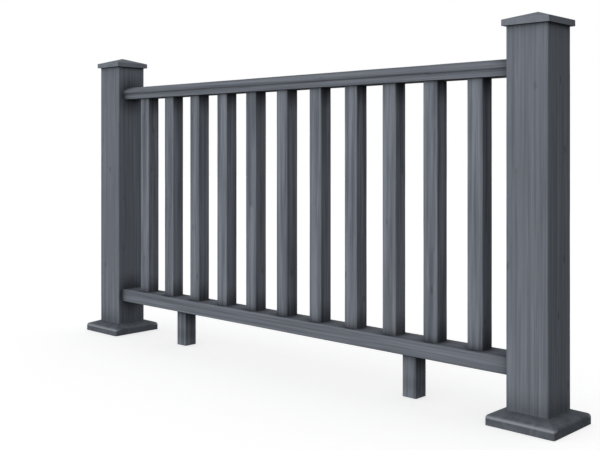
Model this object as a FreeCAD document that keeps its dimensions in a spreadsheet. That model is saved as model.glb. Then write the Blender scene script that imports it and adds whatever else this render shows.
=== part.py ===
import FreeCAD, Part
import enum
import math
import os
import Sketcher

# Deck railing section, one bay: two sleeved posts on steel anchors, a crowned top rail, a bottom rail,
# square balusters and foot blocks. Millimetres. The origin is on the deck under the left post, X runs
# along the rails to the right post, Y to the back and Z up.

# Driving dimensions: name, millimetres or count, meaning
DIMENSIONS = (
    ("baluster_pitch", 142, "centre to centre of neighbouring balusters"),
    ("baluster_count", 11, "balusters in the bay"),
    ("post_to_baluster", 171, "post centre to the centre of the nearest baluster"),
    ("foot_to_baluster", 213, "end baluster centre to the centre of the nearest foot block"),
    ("rail_top_height", 914, "deck to the crown of the top rail"),
    ("foot_height", 118.1, "deck to the underside of the bottom rail"),
    ("slide_fit", 0.3, "gap between pieces that slide together"),
    ("baluster_side", 47.8, "width of a square baluster"),
    ("baluster_wall", 5, "wall of a baluster"),
    ("baluster_round", 4, "eased corner of a baluster"),
    ("baluster_entry", 20, "length of a baluster inside the top rail"),
    ("tube_side", 89, "width of the square anchor tube"),
    ("tube_wall", 4, "wall of the anchor tube"),
    ("tube_drop", 50, "sleeve top down to the end of the anchor tube"),
    ("rib_reach", 5.2, "height of a locating rib inside the sleeve"),
    ("rib_width", 5, "width of a locating rib"),
    ("rib_spread", 52, "distance between the two ribs on one wall"),
    ("sleeve_wall", 8, "wall of the post sleeve"),
    ("sleeve_round", 5, "eased corner of the post sleeve"),
    ("post_above_rail", 76.5, "crown of the top rail to the top of the sleeve"),
    ("skirt_reach", 37.5, "distance the skirt stands out from the sleeve"),
    ("skirt_rim", 24.5, "deck to the shoulder of the skirt, before it is rounded"),
    ("skirt_rise", 12.5, "rise of the skirt from its shoulder to the sleeve"),
    ("skirt_round", 10, "rounded shoulder of the skirt"),
    ("skirt_corner", 6, "rounded corners of the skirt"),
    ("skirt_wall", 4.5, "wall of the skirt"),
    ("plate_gap", 11, "anchor plate edge to the inside of the skirt"),
    ("plate_thickness", 10, "anchor plate"),
    ("plate_round", 8, "corner of the anchor plate"),
    ("bolt_edge", 15, "bolt hole centre to the edge of the plate"),
    ("bolt_hole", 13, "diameter of a bolt hole"),
    ("cap_overhang", 8, "distance the cap stands past the sleeve"),
    ("cap_rim", 15.5, "straight rim of the cap"),
    ("cap_rise", 20, "rise of the pyramid above the rim"),
    ("cap_point", 0.5, "half width of the blunted point of the cap"),
    ("cap_round", 2, "eased edge above the rim of the cap"),
    ("cap_wall", 4, "wall of the cap and of its locating lip"),
    ("cap_lip", 12, "depth of the locating lip inside the sleeve"),
    ("top_rail_height", 45, "underside to crown of the top rail"),
    ("top_rail_cheek", 7.4, "top rail wall beside a baluster hole"),
    ("top_rail_roof", 14, "crown down to the hollow of the top rail"),
    ("top_rail_ease", 2, "eased lower edge of the top rail"),
    ("fascia_height", 14, "underside to the cove of the top rail"),
    ("cove_round", 6.2, "hollow between the lower face and the nose"),
    ("nose_reach", 6.4, "distance the nose stands past the lower face"),
    ("nose_round", 8.6, "rounding of the nose"),
    ("bottom_rail_height", 45.3, "height of the bottom rail"),
    ("bottom_rail_cheek", 16.1, "bottom rail face to the side of a baluster hole"),
    ("bottom_rail_round", 3.5, "eased edges of the bottom rail"),
    ("rail_wall", 5, "wall of the hollow rails"),
    ("bracket_length", 45, "length of a rail bracket"),
    ("bracket_wall", 6, "wall of a rail bracket"),
)
size = {name: value for name, value, meaning in DIMENSIONS}

# Sizes that follow from the driving dimensions, as expressions on the sheet
SLEEVE_SIDE = "(dims.tube_side + 2 * (dims.slide_fit + dims.rib_reach + dims.sleeve_wall))"
SLEEVE_BORE = f"({SLEEVE_SIDE} - 2 * dims.sleeve_wall)"
SKIRT_SIDE = f"({SLEEVE_SIDE} + 2 * dims.skirt_reach)"
PLATE_SIDE = f"({SKIRT_SIDE} - 2 * (dims.skirt_wall + dims.plate_gap))"
CAP_SIDE = f"({SLEEVE_SIDE} + 2 * dims.cap_overhang)"
HOLE_SIDE = "(dims.baluster_side + 2 * dims.slide_fit)"
POST_SPACING = "(2 * dims.post_to_baluster + (dims.baluster_count - 1) * dims.baluster_pitch)"
RAIL_LENGTH = f"({POST_SPACING} - {SLEEVE_SIDE})"
RAIL_START = f"({SLEEVE_SIDE} / 2)"
TOP_RAIL_BASE = "(dims.rail_top_height - dims.top_rail_height)"
BALUSTER_BASE = "(dims.foot_height + dims.rail_wall)"
SLEEVE_TOP = "(dims.rail_top_height + dims.post_above_rail)"
SKIRT_TOP = "(dims.skirt_rim + dims.skirt_rise)"

sleeve_side = size["tube_side"] + 2 * (size["slide_fit"] + size["rib_reach"] + size["sleeve_wall"])
hole_side = size["baluster_side"] + 2 * size["slide_fit"]

doc = FreeCAD.newDocument("deck_railing_section")
sheet = doc.addObject("Spreadsheet::Sheet", "dims")
for row, (name, value, meaning) in enumerate(DIMENSIONS, 1):
    sheet.set(f"A{row}", meaning)
    sheet.set(f"B{row}", str(value))
    sheet.setAlias(f"B{row}", name)
doc.recompute()

# Points of a sketch line or arc, the sketch's own origin, and the share of a size that counts as all of it
Point = enum.IntEnum("Point", ("START", "END", "CENTRE"))
START, END, CENTRE = Point
ORIGIN = (-1, START)
NEARLY = 0.999


# Sketches and bodies
def new_body(label):
    body = doc.addObject("PartDesign::Body", label)
    body.Label = label
    return body


def datum(body, role):
    for feature in body.Origin.OriginFeatures:
        if feature.Role == role:
            return feature
    raise ValueError(f"no origin feature {role}")


def new_sketch(body, name, plane, offset=None):
    sketch = body.newObject("Sketcher::SketchObject", name)
    sketch.AttachmentSupport = [(datum(body, plane), "")]
    sketch.MapMode = "FlatFace"
    if offset:
        sketch.setExpression("AttachmentOffset.Base.z", offset)
    return sketch


def free_sketch(name, quarter_turn):
    """A profile sketch that stands upright across Y, or across X after a quarter turn."""
    sketch = doc.addObject("Sketcher::SketchObject", name)
    upright = FreeCAD.Rotation(FreeCAD.Vector(1, 0, 0), 90)
    turn = FreeCAD.Rotation(FreeCAD.Vector(0, 0, 1), 90 if quarter_turn else 0)
    sketch.Placement = FreeCAD.Placement(FreeCAD.Vector(), turn * upright)
    return sketch


def add_line(sketch, start, end):
    return sketch.addGeometry(Part.LineSegment(FreeCAD.Vector(*start), FreeCAD.Vector(*end)))


def add_arc(sketch, centre, radius, first, last):
    """An arc counter-clockwise from angle first to angle last, in radians."""
    circle = Part.Circle(FreeCAD.Vector(*centre), FreeCAD.Vector(0, 0, 1), radius)
    return sketch.addGeometry(Part.ArcOfCircle(circle, first, last))


def add_rule(sketch, *rule):
    return sketch.addConstraint(Sketcher.Constraint(*rule))


def bind(sketch, kind, first, second, expression):
    """Dimension between two points of a sketch, each (geometry, position), bound to the sheet."""
    reach = sketch.getPoint(*second) - sketch.getPoint(*first)
    value = reach.x if kind == "DistanceX" else reach.y
    rule = add_rule(sketch, kind, *first, *second, value)
    sketch.setExpression(f"Constraints[{rule}]", expression)


def bind_radius(sketch, geometry, expression):
    rule = add_rule(sketch, "Radius", geometry, sketch.Geometry[geometry].Radius)
    sketch.setExpression(f"Constraints[{rule}]", expression)


def rectangle(sketch, width, height):
    """A rectangle about the sketch origin, sized by two expressions."""
    corners = ((-1, -1), (1, -1), (1, 1), (-1, 1))
    first = None
    for index in range(4):
        line = add_line(sketch, corners[index] + (0,), corners[(index + 1) % 4] + (0,))
        first = line if first is None else first
    for index in range(4):
        add_rule(sketch, "Coincident", first + index, END, first + (index + 1) % 4, START)
        add_rule(sketch, "Vertical" if index % 2 else "Horizontal", first + index)
    add_rule(sketch, "Symmetric", first, START, first + 2, START, *ORIGIN)
    bind(sketch, "DistanceX", (first, START), (first, END), width)
    bind(sketch, "DistanceY", (first + 1, START), (first + 1, END), height)
    return first


def pad(body, name, sketch, length, downward=False):
    feature = body.newObject("PartDesign::Pad", name)
    feature.Profile = sketch
    feature.Reversed = downward
    feature.setExpression("Length", length)
    return feature


def pocket(body, name, sketch, length, upward=False):
    """A pocket that cuts against the sketch normal, or along it when upward."""
    feature = body.newObject("PartDesign::Pocket", name)
    feature.Profile = sketch
    feature.Reversed = upward
    feature.setExpression("Length", length)
    return feature


def around_post(body, name, feature):
    """Four copies of a feature about the upright axis."""
    pattern = body.newObject("PartDesign::PolarPattern", name)
    pattern.Originals = [feature]
    pattern.Axis = (datum(body, "Z_Axis"), [""])
    pattern.Angle = 360
    pattern.Occurrences = 4
    body.Tip = pattern
    return pattern


def ease_edges(body, base, direction, radius, half_width):
    """Round the edges that run along a direction and lie at least half_width out from the middle."""
    doc.recompute()
    names = []
    for index, edge in enumerate(base.Shape.Edges, 1):
        if edge.Curve.TypeId != "Part::GeomLine" or abs(edge.Curve.Direction.dot(direction)) < NEARLY:
            continue
        middle = edge.CenterOfMass
        across = middle.x if direction.z else middle.y
        if min(abs(across), abs(middle.y)) >= NEARLY * half_width:
            names.append(f"Edge{index}")
    fillet = body.newObject("PartDesign::Fillet", "EasedEdges")
    fillet.Base = (base, names)
    fillet.setExpression("Radius", radius)
    return fillet


def place(piece, x, z="0"):
    piece.setExpression("Placement.Base.x", x)
    piece.setExpression("Placement.Base.z", z)
    return piece


# Square stock: balusters and foot blocks
def square_stock(label, length):
    body = new_body(label)
    section = new_sketch(body, "Section", "XY_Plane")
    rectangle(section, "dims.baluster_side", "dims.baluster_side")
    inside = "dims.baluster_side - 2 * dims.baluster_wall"
    rectangle(section, inside, inside)
    stock = pad(body, "Stock", section, length)
    ease_edges(body, stock, FreeCAD.Vector(0, 0, 1), "dims.baluster_round", size["baluster_side"] / 2)
    return body


# Post: sleeve with locating ribs, anchor, skirt and cap
def post_sleeve(label):
    body = new_body(label)
    section = new_sketch(body, "Section", "XY_Plane")
    rectangle(section, SLEEVE_SIDE, SLEEVE_SIDE)
    rectangle(section, SLEEVE_BORE, SLEEVE_BORE)
    height = f"{SLEEVE_TOP} - dims.plate_thickness"
    walls = pad(body, "Walls", section, height)
    eased = ease_edges(body, walls, FreeCAD.Vector(0, 0, 1), "dims.sleeve_round", sleeve_side / 2)
    ribs = new_sketch(body, "Ribs", "XY_Plane")
    for side in (-1, 1):
        outer = side * size["rib_spread"] / 2
        left = outer - size["rib_width"] / 2
        right = outer + size["rib_width"] / 2
        low = size["tube_side"] / 2 + size["slide_fit"]
        high = low + size["rib_reach"] + size["sleeve_wall"] / 2
        corners = ((left, low), (right, low), (right, high), (left, high))
        first = None
        for index in range(4):
            line = add_line(ribs, corners[index] + (0,), corners[(index + 1) % 4] + (0,))
            first = line if first is None else first
        for index in range(4):
            add_rule(ribs, "Coincident", first + index, END, first + (index + 1) % 4, START)
            add_rule(ribs, "Vertical" if index % 2 else "Horizontal", first + index)
        bind(ribs, "DistanceX", (first, START), (first, END), "dims.rib_width")
        bind(ribs, "DistanceY", ORIGIN, (first, START), "dims.tube_side / 2 + dims.slide_fit")
        bind(ribs, "DistanceY", (first + 1, START), (first + 1, END), "dims.rib_reach + dims.sleeve_wall / 2")
        bind(ribs, "DistanceX", ORIGIN, (first, START), f"{side} * dims.rib_spread / 2 - dims.rib_width / 2")
    rib_pair = pad(body, "RibPair", ribs, height)
    around_post(body, "RibsAround", rib_pair)
    return body


def post_anchor(label):
    body = new_body(label)
    outline = new_sketch(body, "PlateOutline", "XY_Plane")
    rectangle(outline, PLATE_SIDE, PLATE_SIDE)
    plate = pad(body, "Plate", outline, "dims.plate_thickness")
    ease_edges(body, plate, FreeCAD.Vector(0, 0, 1), "dims.plate_round", size["tube_side"] / 2)
    hole = new_sketch(body, "BoltHole", "XY_Plane")
    out = size["tube_side"] / 2 + size["bolt_hole"]
    edge = Part.Circle(FreeCAD.Vector(out, out, 0), FreeCAD.Vector(0, 0, 1), size["bolt_hole"] / 2)
    circle = hole.addGeometry(edge)
    bind_radius(hole, circle, "dims.bolt_hole / 2")
    bind(hole, "DistanceX", ORIGIN, (circle, CENTRE), f"{PLATE_SIDE} / 2 - dims.bolt_edge")
    bind(hole, "DistanceY", ORIGIN, (circle, CENTRE), f"{PLATE_SIDE} / 2 - dims.bolt_edge")
    drilled = pocket(body, "Drilled", hole, "dims.plate_thickness", upward=True)
    around_post(body, "BoltHoles", drilled)
    section = new_sketch(body, "TubeSection", "XY_Plane", "dims.plate_thickness")
    rectangle(section, "dims.tube_side", "dims.tube_side")
    inside = "dims.tube_side - 2 * dims.tube_wall"
    rectangle(section, inside, inside)
    tube = pad(body, "Tube", section, f"{SLEEVE_TOP} - dims.tube_drop - dims.plate_thickness")
    body.Tip = tube
    return body


def moulding_profile(name, quarter_turn, half, rim, rise, inner, rounding):
    """Upright profile of a square moulding: rim, rounded shoulder and a slope in to half width inner.

    Numbers in pairs: the value to start from and the expression that sets it.
    """
    sketch = free_sketch(name, quarter_turn)
    half_value, rim_value, inner_value = half[0], rim[0], inner[0]
    top_value = rim_value + rise[0]
    slope = math.atan2(rise[0], half_value - inner_value)
    back = rounding[0] * math.tan((math.pi / 2 - slope) / 2)
    below = (half_value, rim_value - back, 0)
    above = (half_value - back * math.cos(slope), rim_value + back * math.sin(slope), 0)
    centre = (half_value - rounding[0], rim_value - back, 0)
    base = add_line(sketch, (-half_value, 0, 0), (half_value, 0, 0))
    side = add_line(sketch, (half_value, 0, 0), below)
    bend = add_arc(sketch, centre, rounding[0], 0, math.pi / 2 - slope)
    ramp = add_line(sketch, above, (inner_value, top_value, 0))
    top = add_line(sketch, (inner_value, top_value, 0), (-inner_value, top_value, 0))
    far_ramp = add_line(sketch, (-inner_value, top_value, 0), (-above[0], above[1], 0))
    far_bend = add_arc(sketch, (-centre[0], centre[1], 0), rounding[0], math.pi / 2 + slope, math.pi)
    far_side = add_line(sketch, (-half_value, below[1], 0), (-half_value, 0, 0))
    corner = sketch.addGeometry(Part.Point(FreeCAD.Vector(half_value, rim_value, 0)), True)
    add_rule(sketch, "Coincident", base, END, side, START)
    add_rule(sketch, "Tangent", side, END, bend, START)
    add_rule(sketch, "Tangent", bend, END, ramp, START)
    add_rule(sketch, "Coincident", ramp, END, top, START)
    add_rule(sketch, "Coincident", top, END, far_ramp, START)
    add_rule(sketch, "Tangent", far_ramp, END, far_bend, START)
    add_rule(sketch, "Tangent", far_bend, END, far_side, START)
    add_rule(sketch, "Coincident", far_side, END, base, START)
    add_rule(sketch, "Symmetric", base, START, base, END, *ORIGIN)
    add_rule(sketch, "Horizontal", base)
    add_rule(sketch, "Vertical", side)
    add_rule(sketch, "Vertical", far_side)
    add_rule(sketch, "Horizontal", top)
    add_rule(sketch, "Equal", bend, far_bend)
    add_rule(sketch, "Horizontal", side, END, far_side, START)
    add_rule(sketch, "PointOnObject", corner, START, side)
    add_rule(sketch, "PointOnObject", corner, START, ramp)
    bind(sketch, "DistanceX", ORIGIN, (base, END), half[1])
    bind(sketch, "DistanceY", ORIGIN, (corner, START), rim[1])
    bind(sketch, "DistanceY", (corner, START), (top, START), rise[1])
    bind(sketch, "DistanceX", ORIGIN, (top, START), inner[1])
    bind(sketch, "DistanceX", (top, END), ORIGIN, inner[1])
    bind_radius(sketch, bend, rounding[1])
    return sketch


def square_moulding(name, half, rim, rise, inner, rounding):
    """The profile run both ways; what the two runs share is a square moulding with mitred corners."""
    runs = []
    for quarter_turn in (False, True):
        way = "Across" if quarter_turn else "Along"
        run = doc.addObject("Part::Extrusion", f"{name}{way}")
        run.Base = moulding_profile(f"{name}{way}Profile", quarter_turn, half, rim, rise, inner, rounding)
        run.DirMode = "Custom"
        run.Dir = FreeCAD.Vector(1, 0, 0) if quarter_turn else FreeCAD.Vector(0, 1, 0)
        run.Symmetric = True
        run.Solid = True
        run.setExpression("LengthFwd", f"2 * ({half[1]})")
        runs.append(run)
    shared = doc.addObject("Part::Common", name)
    shared.Base = runs[0]
    shared.Tool = runs[1]
    return shared


def square_block(name, side, low, high):
    """A square block about the upright axis between two levels."""
    block = doc.addObject("Part::Box", name)
    block.setExpression("Length", side)
    block.setExpression("Width", side)
    block.setExpression("Height", f"({high}) - ({low})")
    block.setExpression("Placement.Base.x", f"-({side}) / 2")
    block.setExpression("Placement.Base.y", f"-({side}) / 2")
    block.setExpression("Placement.Base.z", low)
    return block


def joined(kind, name, base, tool):
    feature = doc.addObject(kind, name)
    feature.Base = base
    feature.Tool = tool
    return feature


def rounded_corners(name, moulding, radius):
    """The moulding with the edges of its mitred corners rounded, rim and slope alike."""
    doc.recompute()
    mitres = []
    for index, edge in enumerate(moulding.Shape.Edges, 1):
        if all(math.isclose(abs(point.x), abs(point.y), rel_tol=1e-6) for point in edge.discretize(3)):
            mitres.append((index, radius, radius))
    fillet = doc.addObject("Part::Fillet", name)
    fillet.Base = moulding
    fillet.Edges = mitres
    return fillet


def post_skirt(label):
    half = sleeve_side / 2 + size["skirt_reach"]
    opening = (sleeve_side / 2 + size["slide_fit"], f"{SLEEVE_SIDE} / 2 + dims.slide_fit")
    rise = (size["skirt_rise"], "dims.skirt_rise")
    wall = size["skirt_wall"]
    shell = square_moulding(
        f"{label}_shell",
        (half, f"{SKIRT_SIDE} / 2"),
        (size["skirt_rim"], "dims.skirt_rim"),
        rise,
        opening,
        (size["skirt_round"], "dims.skirt_round"),
    )
    hollow = square_moulding(
        f"{label}_hollow",
        (half - wall, f"{SKIRT_SIDE} / 2 - dims.skirt_wall"),
        (size["skirt_rim"] - wall, "dims.skirt_rim - dims.skirt_wall"),
        rise,
        opening,
        (size["skirt_round"] - wall, "dims.skirt_round - dims.skirt_wall"),
    )
    corners = rounded_corners(f"{label}_corners", shell, size["skirt_corner"])
    cover = joined("Part::Cut", f"{label}_cover", corners, hollow)
    way = square_block(f"{label}_opening", f"2 * ({opening[1]})", "0", f"2 * {SKIRT_TOP}")
    skirt = joined("Part::Cut", label, cover, way)
    skirt.Label = label
    return skirt


def post_cap(label):
    half = sleeve_side / 2 + size["cap_overhang"]
    inside = size["tube_side"] / 2 - size["cap_wall"]
    point = (size["cap_point"], "dims.cap_point")
    rounding = (size["cap_round"], "dims.cap_round")
    inside_text = "(dims.tube_side / 2 - dims.cap_wall)"
    pitch = size["cap_rise"] / (half - size["cap_point"])
    pitch_text = f"dims.cap_rise / ({CAP_SIDE} / 2 - dims.cap_point)"
    roof = square_moulding(
        f"{label}_roof",
        (half, f"{CAP_SIDE} / 2"),
        (size["cap_rim"], "dims.cap_rim"),
        (size["cap_rise"], "dims.cap_rise"),
        point,
        rounding,
    )
    lip = square_block(f"{label}_lip", "dims.tube_side", "-dims.cap_lip", "dims.cap_wall")
    whole = joined("Part::Fuse", f"{label}_whole", roof, lip)
    bore = square_block(f"{label}_bore", f"2 * {inside_text}", "-2 * dims.cap_lip", "dims.cap_wall")
    bored = joined("Part::Cut", f"{label}_bored", whole, bore)
    attic = square_moulding(
        f"{label}_attic",
        (inside, inside_text),
        (
            size["cap_rim"] - size["cap_wall"] + pitch * (half - inside),
            f"dims.cap_rim - dims.cap_wall + {pitch_text} * ({CAP_SIDE} / 2 - {inside_text})",
        ),
        (pitch * (inside - size["cap_point"]), f"{pitch_text} * ({inside_text} - dims.cap_point)"),
        point,
        rounding,
    )
    cap = joined("Part::Cut", label, bored, attic)
    cap.Label = label
    return cap


# Rails
def baluster_holes(body, sketch, depth, upward):
    rectangle(sketch, HOLE_SIDE, HOLE_SIDE)
    hole = pocket(body, "BalusterHole", sketch, depth, upward)
    doc.recompute()
    pattern = body.newObject("PartDesign::LinearPattern", "BalusterHoles")
    pattern.Originals = [hole]
    pattern.Direction = (datum(body, "X_Axis"), [""])
    pattern.setExpression("Length", "(dims.baluster_count - 1) * dims.baluster_pitch")
    pattern.setExpression("Occurrences", "dims.baluster_count")
    body.Tip = pattern


def first_hole(sketch):
    sketch.setExpression("AttachmentOffset.Base.x", f"dims.post_to_baluster - {SLEEVE_SIDE} / 2")


def bottom_rail(label):
    body = new_body(label)
    section = new_sketch(body, "Section", "YZ_Plane")
    width = f"{HOLE_SIDE} + 2 * dims.bottom_rail_cheek"
    section.setExpression("AttachmentOffset.Base.y", "dims.bottom_rail_height / 2")
    rectangle(section, width, "dims.bottom_rail_height")
    rectangle(section, f"{width} - 2 * dims.rail_wall", "dims.bottom_rail_height - 2 * dims.rail_wall")
    rail = pad(body, "Rail", section, RAIL_LENGTH)
    outer = hole_side / 2 + size["bottom_rail_cheek"]
    ease_edges(body, rail, FreeCAD.Vector(1, 0, 0), "dims.bottom_rail_round", outer)
    hole = new_sketch(body, "Hole", "XY_Plane", "dims.bottom_rail_height")
    first_hole(hole)
    baluster_holes(body, hole, "2 * dims.rail_wall", False)
    return body


def crown_half(sketch):
    """Right half of the top rail: eased lower face, cove, nose and crown, closed down the middle."""
    body_half = hole_side / 2 + size["top_rail_cheek"]
    ease = size["top_rail_ease"]
    fascia = size["fascia_height"]
    cove = size["cove_round"]
    nose = size["nose_round"]
    height = size["top_rail_height"]
    turn = math.acos(1 - size["nose_reach"] / (cove + nose))
    nose_x = body_half + size["nose_reach"] - nose
    nose_y = fascia + (cove + nose) * math.sin(turn)
    up = height - nose_y
    crown = (nose_x ** 2 + up ** 2 - nose ** 2) / (2 * (up - nose))
    lean = math.atan2(nose_y - height + crown, nose_x)
    underside = add_line(sketch, (0, 0, 0), (body_half - ease, 0, 0))
    eased = add_arc(sketch, (body_half - ease, ease, 0), ease, -math.pi / 2, 0)
    face = add_line(sketch, (body_half, ease, 0), (body_half, fascia, 0))
    hollow = add_arc(sketch, (body_half + cove, fascia, 0), cove, math.pi - turn, math.pi)
    bend = add_arc(sketch, (nose_x, nose_y, 0), nose, -turn, lean)
    top = add_arc(sketch, (0, height - crown, 0), crown, lean, math.pi / 2)
    middle = add_line(sketch, (0, height, 0), (0, 0, 0))
    add_rule(sketch, "Coincident", underside, START, *ORIGIN)
    add_rule(sketch, "Coincident", middle, END, underside, START)
    add_rule(sketch, "Coincident", top, END, middle, START)
    add_rule(sketch, "Tangent", underside, END, eased, START)
    add_rule(sketch, "Tangent", eased, END, face, START)
    add_rule(sketch, "Tangent", face, END, hollow, END)
    add_rule(sketch, "Tangent", hollow, START, bend, START)
    add_rule(sketch, "Tangent", bend, END, top, START)
    add_rule(sketch, "Horizontal", underside)
    add_rule(sketch, "Vertical", face)
    add_rule(sketch, "Vertical", middle)
    add_rule(sketch, "Vertical", top, CENTRE, *ORIGIN)
    bind(sketch, "DistanceX", ORIGIN, (face, START), f"{HOLE_SIDE} / 2 + dims.top_rail_cheek")
    bind(sketch, "DistanceX", (face, END), (bend, CENTRE), "dims.nose_reach - dims.nose_round")
    bind(sketch, "DistanceY", ORIGIN, (face, END), "dims.fascia_height")
    bind(sketch, "DistanceY", ORIGIN, (middle, START), "dims.top_rail_height")
    bind_radius(sketch, eased, "dims.top_rail_ease")
    bind_radius(sketch, hollow, "dims.cove_round")
    bind_radius(sketch, bend, "dims.nose_round")


def top_rail(label):
    body = new_body(label)
    half = new_sketch(body, "CrownHalf", "YZ_Plane")
    crown_half(half)
    half_rail = pad(body, "HalfRail", half, RAIL_LENGTH)
    whole = body.newObject("PartDesign::Mirrored", "WholeRail")
    whole.Originals = [half_rail]
    whole.MirrorPlane = (datum(body, "XZ_Plane"), [""])
    body.Tip = whole
    bore = new_sketch(body, "Bore", "YZ_Plane")
    bore.setExpression("AttachmentOffset.Base.y",
                       "(dims.top_rail_height - dims.top_rail_roof + dims.rail_wall) / 2")
    rectangle(bore, HOLE_SIDE, "dims.top_rail_height - dims.top_rail_roof - dims.rail_wall")
    pocket(body, "RailBore", bore, RAIL_LENGTH, upward=True)
    hole = new_sketch(body, "Hole", "XY_Plane")
    first_hole(hole)
    baluster_holes(body, hole, "2 * dims.rail_wall", True)
    return body


def rail_bracket(label, width, height):
    """A hollow plug that slides into the end of a rail, closed where it is screwed to the post."""
    body = new_body(label)
    outline = new_sketch(body, "Outline", "YZ_Plane")
    rectangle(outline, f"{width} - 2 * dims.slide_fit", f"{height} - 2 * dims.slide_fit")
    pad(body, "Plug", outline, "dims.bracket_length")
    inside = new_sketch(body, "Inside", "YZ_Plane", "dims.bracket_wall")
    lost = "2 * (dims.slide_fit + dims.bracket_wall)"
    rectangle(inside, f"{width} - {lost}", f"{height} - {lost}")
    pocket(body, "Hollow", inside, "dims.bracket_length", upward=True)
    return body


# Assembly
pieces = []
for side, post_x in (("left", "0"), ("right", POST_SPACING)):
    pieces.append(place(post_anchor(f"{side}_post_anchor"), post_x))
    pieces.append(place(post_sleeve(f"{side}_post_sleeve"), post_x, "dims.plate_thickness"))
    pieces.append(place(post_skirt(f"{side}_post_skirt"), post_x))
    pieces.append(place(post_cap(f"{side}_post_cap"), post_x, SLEEVE_TOP))

pieces.append(place(bottom_rail("bottom_rail"), RAIL_START, "dims.foot_height"))
pieces.append(place(top_rail("top_rail"), RAIL_START, TOP_RAIL_BASE))

baluster_length = f"{TOP_RAIL_BASE} + dims.baluster_entry - {BALUSTER_BASE}"
for number in range(size["baluster_count"]):
    baluster = square_stock(f"baluster_{number + 1:02d}", baluster_length)
    pieces.append(place(baluster, f"dims.post_to_baluster + {number} * dims.baluster_pitch", BALUSTER_BASE))

foot_offset = "(dims.post_to_baluster + dims.foot_to_baluster)"
for side, foot_x in (("left", foot_offset), ("right", f"{POST_SPACING} - {foot_offset}")):
    pieces.append(place(square_stock(f"{side}_foot_block", "dims.foot_height"), foot_x))

RAIL_HOLLOWS = {
    "top": (
        HOLE_SIDE,
        "(dims.top_rail_height - dims.top_rail_roof - dims.rail_wall)",
        f"{TOP_RAIL_BASE} + (dims.top_rail_height - dims.top_rail_roof + dims.rail_wall) / 2",
    ),
    "bottom": (
        f"({HOLE_SIDE} + 2 * dims.bottom_rail_cheek - 2 * dims.rail_wall)",
        "(dims.bottom_rail_height - 2 * dims.rail_wall)",
        "dims.foot_height + dims.bottom_rail_height / 2",
    ),
}
for rail, (width, height, middle) in RAIL_HOLLOWS.items():
    pieces.append(place(rail_bracket(f"left_{rail}_rail_bracket", width, height), RAIL_START, middle))
    bracket = place(rail_bracket(f"right_{rail}_rail_bracket", width, height), "0", middle)
    bracket.Placement.Rotation = FreeCAD.Rotation(FreeCAD.Vector(0, 0, 1), 180)
    bracket.setExpression("Placement.Base.x", f"{POST_SPACING} - {RAIL_START}")
    pieces.append(bracket)

# Check and write
doc.recompute()
for item in doc.Objects:
    if "Invalid" in item.State or "Error" in item.State:
        raise RuntimeError(f"{item.Label} did not build: {item.State}")
os.makedirs("parts", exist_ok=True)
for piece in pieces:
    shape = piece.Shape
    if shape.isNull() or not shape.isValid() or len(shape.Solids) != 1:
        raise RuntimeError(f"{piece.Label} is not one sound solid")
    shape.exportStep(f"parts/{piece.Label}.step")
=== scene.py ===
import math

import bmesh
import bpy
from bpy.props import FloatProperty, FloatVectorProperty, IntProperty, PointerProperty
from mathutils import Matrix, Vector


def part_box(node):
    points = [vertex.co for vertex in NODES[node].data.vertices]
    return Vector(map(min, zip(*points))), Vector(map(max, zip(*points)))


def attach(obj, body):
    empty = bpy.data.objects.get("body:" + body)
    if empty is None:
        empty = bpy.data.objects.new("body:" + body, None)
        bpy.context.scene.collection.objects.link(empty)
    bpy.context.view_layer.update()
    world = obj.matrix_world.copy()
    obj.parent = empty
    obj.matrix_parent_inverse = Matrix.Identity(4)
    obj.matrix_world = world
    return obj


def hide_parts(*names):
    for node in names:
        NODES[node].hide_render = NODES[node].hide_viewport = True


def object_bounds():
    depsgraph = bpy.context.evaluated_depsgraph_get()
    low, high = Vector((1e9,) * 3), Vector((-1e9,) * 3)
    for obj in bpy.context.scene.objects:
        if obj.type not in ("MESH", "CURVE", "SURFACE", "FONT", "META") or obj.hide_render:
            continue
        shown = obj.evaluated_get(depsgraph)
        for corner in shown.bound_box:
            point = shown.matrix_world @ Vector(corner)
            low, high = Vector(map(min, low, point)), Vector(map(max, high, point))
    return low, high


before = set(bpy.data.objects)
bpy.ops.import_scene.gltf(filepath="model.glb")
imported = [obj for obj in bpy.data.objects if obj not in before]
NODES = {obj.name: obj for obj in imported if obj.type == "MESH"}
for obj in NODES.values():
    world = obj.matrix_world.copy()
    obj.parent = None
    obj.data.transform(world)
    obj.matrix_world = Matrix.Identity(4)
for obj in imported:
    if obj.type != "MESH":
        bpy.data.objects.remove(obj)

bl_info = {
    "name": "Composite deck railing",
    "version": (1, 0, 0),
    "blender": (4, 5, 0),
    "location": "3D View > Sidebar > Railing",
    "description": "Dresses one bay of a grey composite deck railing with pressed wood grain",
    "category": "Object",
}

CAD_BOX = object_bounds()
SIDES = ("left", "right")
BALUSTERS = sorted(name for name in NODES if name.startswith("baluster_"))
MM = 0.001
IMAGE_SIZE = (600, 450)

# Axes of the frame: the rails run along X, and the posts and balusters stand along Z
LENGTHWISE = 0
UPRIGHT = 2

# The range that the values of a noise texture mostly fill
NOISE_LOW = 0.3
NOISE_HIGH = 0.7

# Fibre and weather leave the composite almost no gloss
COMPOSITE_IOR = 1.5
COMPOSITE_SPECULAR = 0.02


def linear(hex_colour):
    """An sRGB hex colour as linear red, green and blue."""
    levels = [int(hex_colour[place:place + 2], 16) / 255 for place in (0, 2, 4)]
    return tuple(level / 12.92 if level <= 0.04045 else ((level + 0.055) / 1.055) ** 2.4 for level in levels)


def length_property(name, description, millimetres):
    """A length that a user can change."""
    return FloatProperty(name=name, description=description, default=millimetres * MM, min=0.0,
                         unit="LENGTH", subtype="DISTANCE")


def share_property(name, description, share):
    """A strength up to one that a user can change."""
    return FloatProperty(name=name, description=description, default=share, min=0.01, max=1.0,
                         subtype="FACTOR")


def seed_property(name, description, seed):
    """A fixed seed that a user can change."""
    return IntProperty(name=name, description=description, default=seed)


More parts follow.
